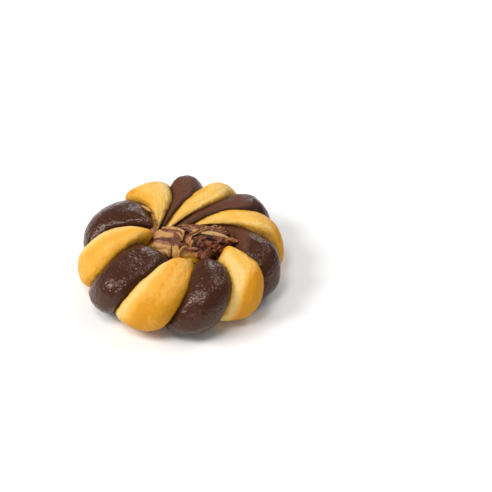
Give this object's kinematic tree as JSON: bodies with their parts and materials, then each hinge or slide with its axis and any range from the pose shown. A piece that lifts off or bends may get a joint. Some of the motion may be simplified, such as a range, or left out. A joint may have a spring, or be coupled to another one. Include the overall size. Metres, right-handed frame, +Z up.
{
  "type": "two-tone swirl cookie",
  "caption": "Round filled cookie of vanilla and cocoa dough, its petals swirled round the rim into a torn, marbled knot on top.",
  "frame": {"origin": "middle of the flat underside, on the surface that the cookie rests on", "axes": "+Z up out of the top; -Y towards the viewer of the picture, +X to the viewer's right"},
  "size_m": [0.0592, 0.0584, 0.0175],
  "materials": {
    "vanilla_dough": "baked dough, matte",
    "cocoa_dough": "baked dough, slightly glossy",
    "marbled_dough": "torn, marbled dough"
  },
  "bodies": {
    "root": {"vanilla_petal_1": "vanilla_dough", "vanilla_petal_2": "vanilla_dough", "vanilla_petal_3": "vanilla_dough", "vanilla_petal_4": "vanilla_dough", "vanilla_petal_5": "vanilla_dough", "vanilla_petal_6": "vanilla_dough", "cocoa_petal_1": "cocoa_dough", "cocoa_petal_2": "cocoa_dough", "cocoa_petal_3": "cocoa_dough", "cocoa_petal_4": "cocoa_dough", "cocoa_petal_5": "cocoa_dough", "cocoa_petal_6": "cocoa_dough", "knot": "marbled_dough"}
  },
  "joints": []
}
